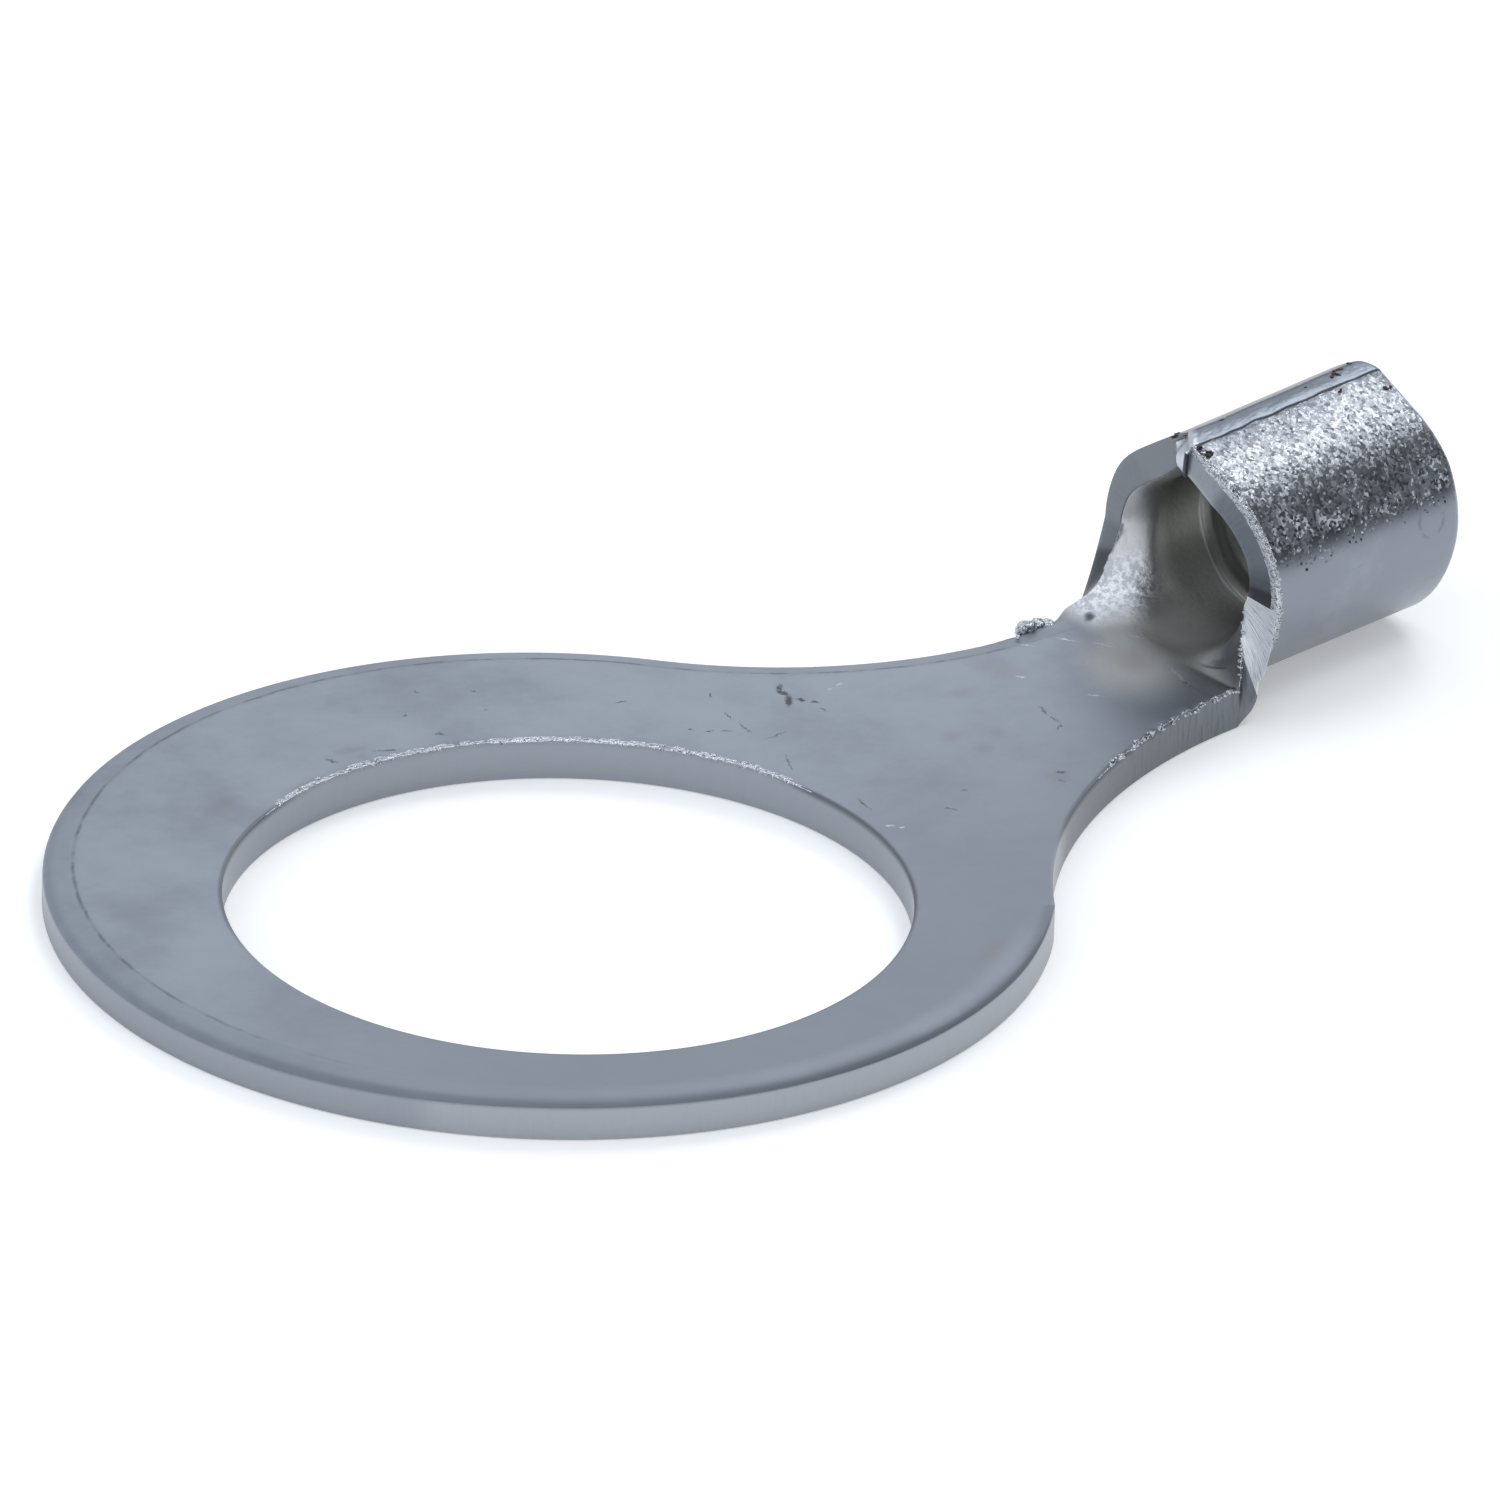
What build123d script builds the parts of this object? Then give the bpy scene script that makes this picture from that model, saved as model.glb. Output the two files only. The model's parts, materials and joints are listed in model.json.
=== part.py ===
"""Uninsulated ring terminal, rolled from one piece of tinned copper sheet. Millimetres.

The stud hole stands on the origin, +X runs along the neck to the wire barrel and +Z is up. The
underside of the ring and the neck lies on Z = 0, and so does the lowest line of the barrel.
"""

import os
from math import acos, asin, atan2, cos, sin, sqrt

from build123d import *

# Sheet
sheet_t = 0.9

# Ring
stud_hole_d = 15.0
disc_d = 22.05
disc_shift_x = 0.58  # the round edge was struck off centre from the hole, towards the barrel
disc_shift_y = 1.2  # and to the left of it
roll_w = 0.65  # sloping band that the blanking punch leaves round the ring's upper edge
roll_depth = 0.13

# Neck
neck_w = 5.3
neck_end_x = 18.1  # where the neck's hollow sides run out straight
right_overcut = 0.3  # the right side was cut deeper, which leaves a corner where it meets the ring
strip_y = 0.36  # centre line of neck and barrel, to the left of the hole's centre

# Wire barrel
mouth_x = 19.3
barrel_d = 5.7
barrel_len = 5.7
rear_round = 0.25

# Seam along the top of the barrel
seam_rise = 0.2  # the two rolled edges meet in a low peak
seam_w = 0.45
seam_sink = 0.08  # the solder in the seam stands this far below the sheet

# Groove pressed across the inside of the barrel
groove_inset = 2.15  # from the barrel's mouth
groove_w = 0.65
groove_depth = 0.12

# Throat, where the flat neck is dished up into the barrel, later and more sharply on the right
throat_x = 17.65
right_throat_x = 18.2
left_haste = 0.95  # below 1, a side bends up early and eases into the barrel
right_haste = 0.75
throat_cuts = 10

disc_r = disc_d / 2
barrel_r = barrel_d / 2
bore_r = barrel_r - sheet_t
axis_z = barrel_r


class HollowSide:
    """One hollow side of the neck: an arc from the ring's edge that runs out along the strip."""

    def __init__(self, away, overcut):
        end_y = strip_y + away * neck_w / 2
        rise = away * (end_y - disc_shift_y)
        reach = neck_end_x - disc_shift_x
        tangent_r = (reach**2 + rise**2 - disc_r**2) / (2 * (disc_r - rise))
        disc_centre = Vector(disc_shift_x, disc_shift_y)
        self.away = away
        self.radius = tangent_r + overcut
        self.centre = Vector(neck_end_x, end_y + away * self.radius)
        apart = self.centre - disc_centre
        nearness = (disc_r**2 + apart.length**2 - self.radius**2) / (2 * disc_r * apart.length)
        turn = atan2(apart.Y, apart.X) + away * acos(min(nearness, 1))
        self.touch = disc_centre + Vector(cos(turn), sin(turn)) * disc_r
        self.throat = Vector(throat_x, strip_y + away * self.half_width(throat_x))
        half_way = (self.touch + self.throat) * 0.5 - self.centre
        self.middle = self.centre + half_way.normalized() * self.radius

    def half_width(self, x):
        """Distance of the neck's edge from its centre line."""
        run = max(neck_end_x - x, 0)
        return neck_w / 2 + self.radius - sqrt(self.radius**2 - run**2)


def roundness(x, start_x, haste):
    """Share of the barrel's bend that one side of the sheet has at x."""
    way = (max(x - start_x, 0) / (mouth_x - start_x)) ** haste
    return way**2 * (3 - 2 * way)


def dished_half(side, x, start_x, haste):
    """Section at x of one half of the sheet, bent up by its share, its lowest line at Z = 0."""
    share = roundness(x, start_x, haste)
    half = min(side.half_width(x) + share * (barrel_d - neck_w) / 2, barrel_r)

    def at(depth, turn):
        radius = barrel_r / share - depth
        return (strip_y + side.away * radius * sin(turn), barrel_r / share - radius * cos(turn))

    with BuildSketch(Plane.YZ.offset(x)) as section:
        with BuildLine():
            if share == 0:
                edge_y = strip_y + side.away * half
                Polyline((strip_y, 0), (edge_y, 0), (edge_y, sheet_t), (strip_y, sheet_t), close=True)
            else:
                lean = asin(half * share / barrel_r)
                ThreePointArc(at(0, 0), at(0, lean / 2), at(0, lean))
                Line(at(0, lean), at(sheet_t, lean))
                ThreePointArc(at(sheet_t, lean), at(sheet_t, lean / 2), at(sheet_t, 0))
                Line(at(sheet_t, 0), at(0, 0))
        make_face()
    return section.sketch


def peaked_round(x, radius):
    """Round at x of this radius with the low peak in which the rolled edges meet."""
    peak = Vector(seam_w / 2, radius + seam_rise)
    lean = atan2(peak.X, peak.Y) + acos(radius / peak.length)
    centre = Vector(strip_y, axis_z)
    right_touch = centre + Vector(sin(lean), cos(lean)) * radius
    left_touch = centre + Vector(-sin(lean), cos(lean)) * radius
    with BuildSketch(Plane.YZ.offset(x)) as section:
        with BuildLine():
            Polyline(right_touch, centre + peak, centre + Vector(-peak.X, peak.Y), left_touch)
            ThreePointArc(left_touch, centre - Vector(0, radius), right_touch)
        make_face()
    return section.sketch


left_side = HollowSide(1, 0)
right_side = HollowSide(-1, right_overcut)

# Ring and flat neck, with the punch's sloping band along the ring and the neck's left side
with BuildPart() as blank:
    with BuildSketch():
        with BuildLine():
            ThreePointArc(right_side.touch, right_side.middle, right_side.throat)
            Line(right_side.throat, left_side.throat)
            ThreePointArc(left_side.throat, left_side.middle, left_side.touch)
            ThreePointArc(left_side.touch, (disc_shift_x - disc_r, disc_shift_y), right_side.touch)
        make_face()
    extrude(amount=sheet_t)
    upper_face = blank.faces().sort_by(Axis.Z)[-1]
    rolled_edges = upper_face.edges().filter_by(GeomType.CIRCLE).sort_by(Axis.Y)[1:]
    chamfer(rolled_edges, roll_w, roll_depth, reference=upper_face)
    with BuildSketch():
        Circle(stud_hole_d / 2)
    extrude(amount=sheet_t, mode=Mode.SUBTRACT)

# Throat: the same sheet, its bend tightening from flat to the barrel's own round
stations = [throat_x + (mouth_x - throat_x) * number / throat_cuts for number in range(throat_cuts + 1)]
with BuildPart() as throat:
    for side, start_x, haste in ((left_side, throat_x, left_haste), (right_side, right_throat_x, right_haste)):
        loft(sections=[dished_half(side, x, start_x, haste) for x in stations], ruled=True)

# Wire barrel, open at both ends, with the soldered seam along its top
with BuildPart() as barrel:
    extrude(peaked_round(mouth_x, barrel_r), amount=barrel_len)
    fillet(barrel.faces().sort_by(Axis.X)[-1].edges(), rear_round)
    extrude(peaked_round(mouth_x, bore_r), amount=barrel_len, mode=Mode.SUBTRACT)
    extrude(peaked_round(mouth_x + groove_inset, bore_r + groove_depth), amount=groove_w, mode=Mode.SUBTRACT)
    with BuildSketch(Plane.YZ.offset(mouth_x)):
        with Locations((strip_y, axis_z + barrel_r + seam_rise - seam_sink)):
            Rectangle(seam_w, sheet_t, align=(Align.CENTER, Align.MIN))
    extrude(amount=barrel_len, mode=Mode.SUBTRACT)

# Whole terminal
with BuildPart() as ring_terminal:
    add(blank.part)
    add(throat.part)
    add(barrel.part)

ring_terminal.part.label = "ring_terminal"

os.makedirs("parts", exist_ok=True)
export_step(ring_terminal.part, "parts/ring_terminal.step")
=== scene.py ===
"""Looks of a bare ring terminal: tinned sheet, rolled barrel, soldered seam, burrs and a plain stage.

The sheet is shaped in millimetres as a flat blank (along, across, depth), then bent up as the press does it,
and scaled to metres at the end. Depth 0 is the underside of the ring and the outside of the barrel.
"""

import json
from functools import cached_property, partial
from math import acos, asin, atan2, ceil, cos, pi, radians, sin, sqrt, tau
from random import Random

import bmesh
import bpy
from bpy.props import FloatProperty, FloatVectorProperty, PointerProperty
from mathutils import Matrix, Vector, noise


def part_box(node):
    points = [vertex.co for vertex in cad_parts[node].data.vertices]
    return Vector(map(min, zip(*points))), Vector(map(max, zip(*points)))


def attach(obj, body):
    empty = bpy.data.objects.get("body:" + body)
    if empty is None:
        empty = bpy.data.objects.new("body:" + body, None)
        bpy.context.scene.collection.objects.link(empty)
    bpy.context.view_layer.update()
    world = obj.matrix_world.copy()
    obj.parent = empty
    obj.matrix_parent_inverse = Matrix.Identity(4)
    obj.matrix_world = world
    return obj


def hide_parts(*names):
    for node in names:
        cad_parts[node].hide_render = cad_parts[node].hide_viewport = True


bl_info = {
    "name": "Ring terminal",
    "version": (1, 0, 0),
    "blender": (4, 5, 0),
    "location": "View3D > Sidebar > Terminal",
    "description": "Builds the looks of a tinned ring terminal around its packed solid",
    "category": "Add Mesh",
}

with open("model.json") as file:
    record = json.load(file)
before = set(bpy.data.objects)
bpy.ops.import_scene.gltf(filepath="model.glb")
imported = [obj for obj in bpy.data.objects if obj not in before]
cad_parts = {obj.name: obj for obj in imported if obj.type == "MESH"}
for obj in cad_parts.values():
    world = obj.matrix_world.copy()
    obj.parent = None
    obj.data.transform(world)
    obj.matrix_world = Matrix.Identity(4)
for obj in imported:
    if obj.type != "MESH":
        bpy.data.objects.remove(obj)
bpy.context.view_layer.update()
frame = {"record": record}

MM = 0.001
NODE = "ring_terminal"
BODY = "root"

# Finishes of the sheet's faces, in the order of its material slots
MATT, WALL, CUT, FROSTED, BURRED, INSIDE, BURNISHED_AND_HIGHLIGHT = range(7)

# How early each side of the throat bends up: below 1 it starts fast and eases into the barrel
LEFT_HASTE = 0.95
RIGHT_HASTE = 0.75

# The barrel is tilted up from here to its rear: slope of its floor, and how much steeper its top is
TILT_FROM = 20.3
TILT_LOW = 0.012
TILT_MORE = 0.02

# Lanes and rows of the sheet's mesh, in millimetres where they are distances from an edge
CROSS_X = 12.0
OUTLINE_STEP = 0.22
EDGE_BORDERS = (0, 0.07, 0.15, 0.25, 0.4)
NECK_LANES = 42
RING_BORDERS = (0, 0.07, 0.12, 0.18, 0.26, 0.38, 0.5, 0.65, 0.8, 1.05)
RING_LAYERS = 5

# The fine groove between the solder and the frosted tin: distance from the seam's edge, half width, depth,
# and where the darker line laid along it lies across the blank
SEAM_GROOVE_IN = 0.095
SEAM_GROOVE_HALF = 0.05
SEAM_GROOVE_DEPTH = 0.016
SEAM_GROOVE_ACROSS = 8.63

# Lanes beside the seam's edge, close enough to carry that groove
SEAM_BORDERS = (0.2, 0.14, SEAM_GROOVE_IN, 0.05, 0)

# Heights of the burrs on the barrel's mouth, the neck's right and left edges, and the hole's edge
MOUTH_BURR, RIGHT_BURR, LEFT_BURR, HOLE_BURR = 0.07, 0.15, 0.08, 0.06

# How far the throat's right side bulges below and above its notch, how deep the fold beside it is creased,
# and from where on its edge was rubbed bright and laid on near white as a painted highlight
EAR_BELOW, EAR_ABOVE = 0.15, 0.07
CREASE_DEPTH = 0.09
BURNISHED_HIGHLIGHT_FROM = 18.68

# How much thinner the wall was stretched inside the mouth's left side
FLARE_DEPTH = 0.44

# Round scar on the barrel's right flank: centre in the blank, and radius
SCAR = (24.06, -4.91, 0)
SCAR_R = 0.36

# Size of the tin's crystals: the real ones are finer, and this is as coarse as they need to be to show
CRYSTAL = 0.072

# Flux specks: along the barrel, across the blank, half length, half width, all in millimetres
FLUX_SPOTS = (
    (19.34, 8.3, 0.1, 0.06),
    (19.42, -8.52, 0.16, 0.1),
    (19.55, -8.36, 0.1, 0.08),
    (20.34, 8.78, 0.05, 0.04),
    (22.9, 8.92, 0.03, 0.025),
    (23.62, -8.54, 0.1, 0.04),
    (23.82, 8.92, 0.13, 0.08),
    (24.1, 8.82, 0.13, 0.06),
    (24.58, 8.72, 0.09, 0.05),
    (24.68, -8.15, 0.11, 0.06),
)

# Marks in the sheet's faces: place along and across the blank, half length, half width, turn in degrees
GOUGES = (
    (10.54, 4.08, 0.24, 0.1, -137),
    (10.42, 3.83, 0.3, 0.13, -86),
    (10.24, 3.46, 0.42, 0.13, -136),
    (10.48, 3.33, 0.15, 0.09, -75),
    (10.64, 3.06, 0.15, 0.06, -60),
    (10.53, 2.66, 0.14, 0.03, -102),
    (7.6, 3.84, 0.1, 0.04, -60),
    (7.84, 3.5, 0.14, 0.045, -36),
)
DARK_MARKS = (
    (9.11, 4.81, 0.16, 0.04, -128),
    (8.17, 3.28, 0.2, 0.04, -33),
    (8.7, 3.79, 0.3, 0.03, -102),
    (8.58, 3.15, 0.36, 0.035, -106),
    (8.88, 2.4, 0.42, 0.03, -1),
    (8.13, 1.26, 0.55, 0.035, -123),
    (7.98, -1.28, 0.4, 0.04, -104),
    (9.26, -2.69, 0.22, 0.04, -63),
    (10.11, -2.23, 0.07, 0.05, 0),
    (14.23, -0.52, 0.3, 0.035, -114),
    (14.11, -1.0, 0.27, 0.035, -92),
    (13.92, -1.34, 0.22, 0.03, -154),
    (12.37, -2.96, 0.16, 0.05, -40),
    (12.07, -3.27, 0.13, 0.05, -72),
    (0.51, 7.79, 0.24, 0.06, -77),
    (1.78, 7.4, 0.4, 0.05, -35),
    (3.23, 7.23, 0.22, 0.05, -62),
    (3.27, 8.39, 0.08, 0.05, 0),
    (4.25, 9.1, 0.15, 0.04, -107),
    (4.84, 7.47, 0.1, 0.04, -53),
    (5.24, 8.31, 0.1, 0.04, -73),
    (7.38, 5.83, 0.2, 0.04, -16),
)
BRIGHT_MARKS = (
    (7.66, -2.43, 0.12, 0.05, -40),
    (7.81, -2.67, 0.09, 0.05, -40),
    (11.35, 3.29, 0.08, 0.05, 0),
    (11.66, 3.33, 0.08, 0.05, 0),
    (14.99, 1.0, 0.12, 0.04, -51),
    (15.64, -0.76, 0.28, 0.035, -51),
    (17.12, 1.66, 0.36, 0.03, -68),
    (17.55, 0.96, 0.42, 0.03, -69),
    (18.36, 0.78, 0.24, 0.03, -63),
    (17.67, -1.42, 1.0, 0.035, 71),
    (16.2, 2.1, 0.25, 0.025, -60),
)
STAINS_AND_REFLECTION = (
    # The first is a brown painted reflection of the barrel's inside on the throat's floor; the others are
    # stains
    (17.5, 0.1, 1.0, 0.75, 60),
    (13.41, 1.27, 0.5, 0.35, 0),
    (11.74, -0.15, 0.45, 0.3, 20),
    (11.92, -1.04, 0.35, 0.3, 0),
    (12.71, -0.61, 0.4, 0.25, 60),
    (14.89, 1.77, 1.0, 0.6, -83),
    (12.2, -3.1, 0.5, 0.4, 0),
    (-0.8, 7.27, 0.7, 0.3, 6),
    (-2.9, 7.7, 0.9, 0.3, 20),
    (1.2, 7.9, 0.6, 0.25, -20),
    (5.2, -8.2, 0.9, 0.35, 15),
)

# Pale patches on the floor of the throat and of the barrel behind it: flux film, and a painted reflection of
# the barrel's inside
FILM_AND_REFLECTION = (
    (17.4, -0.15, 2.5, 1.6, 57),
    (19.5, 0.3, 1.6, 2.3, 0),
)

# Shade in the throat's right fold, and one dark spot at the foot of its left side
FOLD_SHADES = (
    (18.65, -2.6, 0.85, 1.3, 0),
    (18.6, -2.15, 0.9, 0.16, -82),
    (18.64, -2.5, 0.6, 0.22, -86),
    (18.1, 2.12, 0.26, 0.14, 60),
)

# Dark places on the torn edges: where the throat's cut faces turn into the barrel's rim
EDGE_SHADES = (
    (19.29, -4.42, 0.3, 0.35, 0),
    (18.95, 3.4, 0.55, 1.0, 60),
)

# Lamps: name, place and width in metres, power in watts
LAMPS = (
    ("key", (0.225, 0.08, 0.25), 0.13, 0.19),
    ("top", (0.04, -0.13, 0.32), 0.12, 0.12),
)
LAMPS_AIM = Vector((0.015, 0, 0))

# Half width of the floor in metres, how far it lies below the terminal, and the glow that evens its light
FLOOR_HALF = 3.0
FLOOR_DROP = 0.02
FLOOR_GLOW = 0.3

# Cool tint of the studio, and the way towards its dark corner, which the barrel's flank mirrors
STUDIO_TINT = (0.9, 0.96, 1.05, 1)
DARK_CORNER = (0.63, -0.72, 0.28)


def linear(code, alpha=1.0):
    """Linear colour of an sRGB hex code."""
    shares = [int(code[i : i + 2], 16) / 255 for i in (1, 3, 5)]
    return [s / 12.92 if s <= 0.04045 else ((s + 0.055) / 1.055) ** 2.4 for s in shares] + [alpha]


def length(name, millimetres, description):
    """A length that the sidebar shows in the scene's unit."""
    default = millimetres * MM
    return FloatProperty(
        name=name, description=description, default=default, min=0.0, unit="LENGTH", precision=5
    )


def angle(name, degrees, description):
    """An angle that the sidebar shows in degrees."""
    return FloatProperty(name=name, description=description, default=radians(degrees), subtype="ANGLE")


def colour(name, code, description):
    """A colour given by its sRGB hex code."""
    default = linear(code)[:3]
    return FloatVectorProperty(
        name=name, description=description, default=default, min=0.0, max=1.0, size=3, subtype="COLOR"
    )


class SheetSettings(bpy.types.PropertyGroup):
    """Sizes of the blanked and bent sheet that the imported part's mounts and box do not give."""

    roll_width: length("Edge band width", 0.65, "Width of the sloping band that the punch left on the ring")
    roll_depth: length("Edge band depth", 0.13, "How far that band drops at the ring's outer edge")
    neck_width: length("Neck width", 5.3, "Width of the neck where its hollow sides run out")
    neck_end: length("Neck end", 18.1, "Where the hollow sides run out, from the stud hole's axis")
    right_overcut: length("Right overcut", 0.3, "How much larger the neck's right radius was cut")
    left_throat: length("Left throat start", 17.65, "Where the left side bends up, from the hole's axis")
    right_throat: length("Right throat start", 18.2, "Where the right side bends up, from the hole's axis")
    edge_round: length("Edge rounding", 0.05, "Rounding of the sheet's cut edges")
    outer_round: length("Outer rounding", 0.18, "Rounding of the ring's upper edge, outside its band")
    rear_round: length("Rear rounding", 0.25, "Rounding of the barrel's rear edge")
    mouth_roll: length("Mouth roll", 0.14, "How far the punch drew down the barrel's inner front edge")
    slip: length("Slip", 0.52, "How much further forward the barrel's right side sits than its left")
    seam_rise: length("Seam rise", 0.2, "Height of the low peak in which the rolled edges meet")
    seam_width: length("Seam width", 0.45, "Width of the solder between the rolled edges")
    solder_far: length("Solder reach, far", 0.28, "How far the solder spreads to the seam's left side")
    solder_near: length("Solder reach, near", 0.31, "How far the solder spreads to the seam's right side")
    shoulder: length("Shoulder", 0.14, "How far the barrel sinks below a true circle left of the seam")
    groove_inset: length("Groove inset", 2.15, "Distance of the groove inside the barrel from its mouth")
    groove_width: length("Groove width", 0.65, "Width of the groove inside the barrel")
    groove_depth: length("Groove depth", 0.12, "Depth of the groove inside the barrel")


class FinishSettings(bpy.types.PropertyGroup):
    """Colours of the tin, the cut metal, the solder and the dirt."""

    tin: colour("Tin", "#A2A8B0", "Matt tin on the faces of the sheet")
    # Also laid on as painted shade over the near, right side of the ring and neck
    tin_dark: colour("Dull tin", "#8B9098", "Duller clouds in the tin")
    # Darker than the outer tin: flux-washed tone, and painted shade inside the bore as well
    inner_tin: colour("Inner tin", "#9C9C98", "Whitish tin inside the barrel, washed over by flux")
    # Near white: stretched tin, and a painted highlight on the throat's left cheek as well
    cheek_tin: colour("Cheek tin", "#FAFAFB", "Stretched bright tin where the throat's sides rise")
    cheek_dull: colour("Cheek dimples", "#C8CACE", "Dimples in the stretched tin")
    # Also a painted reflection of the barrel's inside, laid on the floor of the throat
    film: colour("Flux film", "#DAD8D5", "Pale film of flux on the floor of the throat")
    cut: colour("Cut edge", "#7D8186", "Torn edge of the neck and the barrel's mouth")
    # A lighter copy of the cut edge's colour: painted light on the barrel's right front edge
    rim: colour("Right rim", "#A4A8AD", "Smoother front edge of the barrel's right side")
    # Also laid on as painted shade: along the bend of the ring's edge band, and in the hollows of the burrs
    cut_dark: colour("Cut edge lines", "#60656B", "Dark lines in the torn edge")
    wall: colour("Sheared wall", "#979CA3", "Smooth sheared wall of the ring")
    wall_dark: colour("Wall lines", "#8C9097", "Lines in the sheared wall")
    # Also laid on as a painted highlight: on the barrel's upper flank and on the solder's nose
    bright: colour("Bright metal", "#D4D7DB", "Burrs and rubbed spots")
    # Near white: rubbed metal, and a painted highlight as well
    burnished: colour("Burnished metal", "#F3F4F6", "Edge of the throat that the die rubbed bright")
    # Also laid on as painted shade: in the throat's fold, on the torn edges, on the solder's far hem and
    # beside the seam, and as a dark band of painted reflection on the barrel's flank
    mark: colour("Marks", "#45484C", "Dirt in the dents and scratches")
    solder: colour("Solder", "#858C95", "Smooth metal in the seam")
    # Also laid on as a brown painted reflection on the floor of the throat
    stain: colour("Stain", "#8A7F76", "Thin brown film on the tin")
    flux: colour("Flux", "#3A2718", "Burnt flux beside the seam")
    charred: colour("Charred flux", "#120D0A", "Blackest spots of the burnt flux")


class StageSettings(bpy.types.PropertyGroup):
    """Camera and floor."""

    distance: length("Camera distance", 433.77, "Distance of the camera from the stud hole's centre")
    elevation: angle("Elevation", 26.886, "Camera's height above the floor")
    azimuth: angle("Azimuth", -43.768, "Turn of the camera round the stud hole")
    roll: angle("Roll", 1.813, "Tilt of the camera about its own axis")
    aim_x: length("Aim along the neck", 9.171, "Where the camera's axis meets the floor, along the neck")
    aim_y: length("Aim across the neck", 3.897, "Where the camera's axis meets the floor, across the neck")
    lens: FloatProperty(
        name="Lens", description="Focal length on a 36 mm sensor", default=480.0, subtype="DISTANCE_CAMERA"
    )
    floor: colour("Floor", "#F4F4F4", "Plain pale floor")


class HollowSide:
    """One hollow side of the neck: an arc from the ring's edge that runs out along the strip."""

    def __init__(self, sheet, away, overcut):
        end_y = sheet.strip_y + away * sheet.neck_width / 2
        rise = away * (end_y - sheet.disc_centre.y)
        run = sheet.neck_end - sheet.disc_centre.x
        tangent_r = (run**2 + rise**2 - sheet.disc_r**2) / (2 * (sheet.disc_r - rise))
        self.neck_end = sheet.neck_end
        self.neck_width = sheet.neck_width
        self.away = away
        self.radius = tangent_r + overcut
        self.centre = Vector((sheet.neck_end, end_y + away * self.radius))
        apart = self.centre - sheet.disc_centre
        near = (sheet.disc_r**2 + apart.length**2 - self.radius**2) / (2 * sheet.disc_r * apart.length)
        self.turn = atan2(apart.y, apart.x) + away * acos(min(near, 1))
        self.touch = sheet.disc_centre + Vector((cos(self.turn), sin(self.turn))) * sheet.disc_r

    def half_width(self, x):
        """Distance of the neck's edge from its centre line."""
        run = max(self.neck_end - x, 0)
        return self.neck_width / 2 + self.radius - sqrt(self.radius**2 - run**2)

    def points(self, start_x, step):
        """Points of the arc from start_x back to the ring, both ends included."""
        start = -self.away * acos((start_x - self.centre.x) / self.radius)
        end = atan2(self.touch.y - self.centre.y, self.touch.x - self.centre.x)
        turns = steps(start, end, step / self.radius)
        return [self.centre + Vector((cos(a), sin(a))) * self.radius for a in turns]


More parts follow.
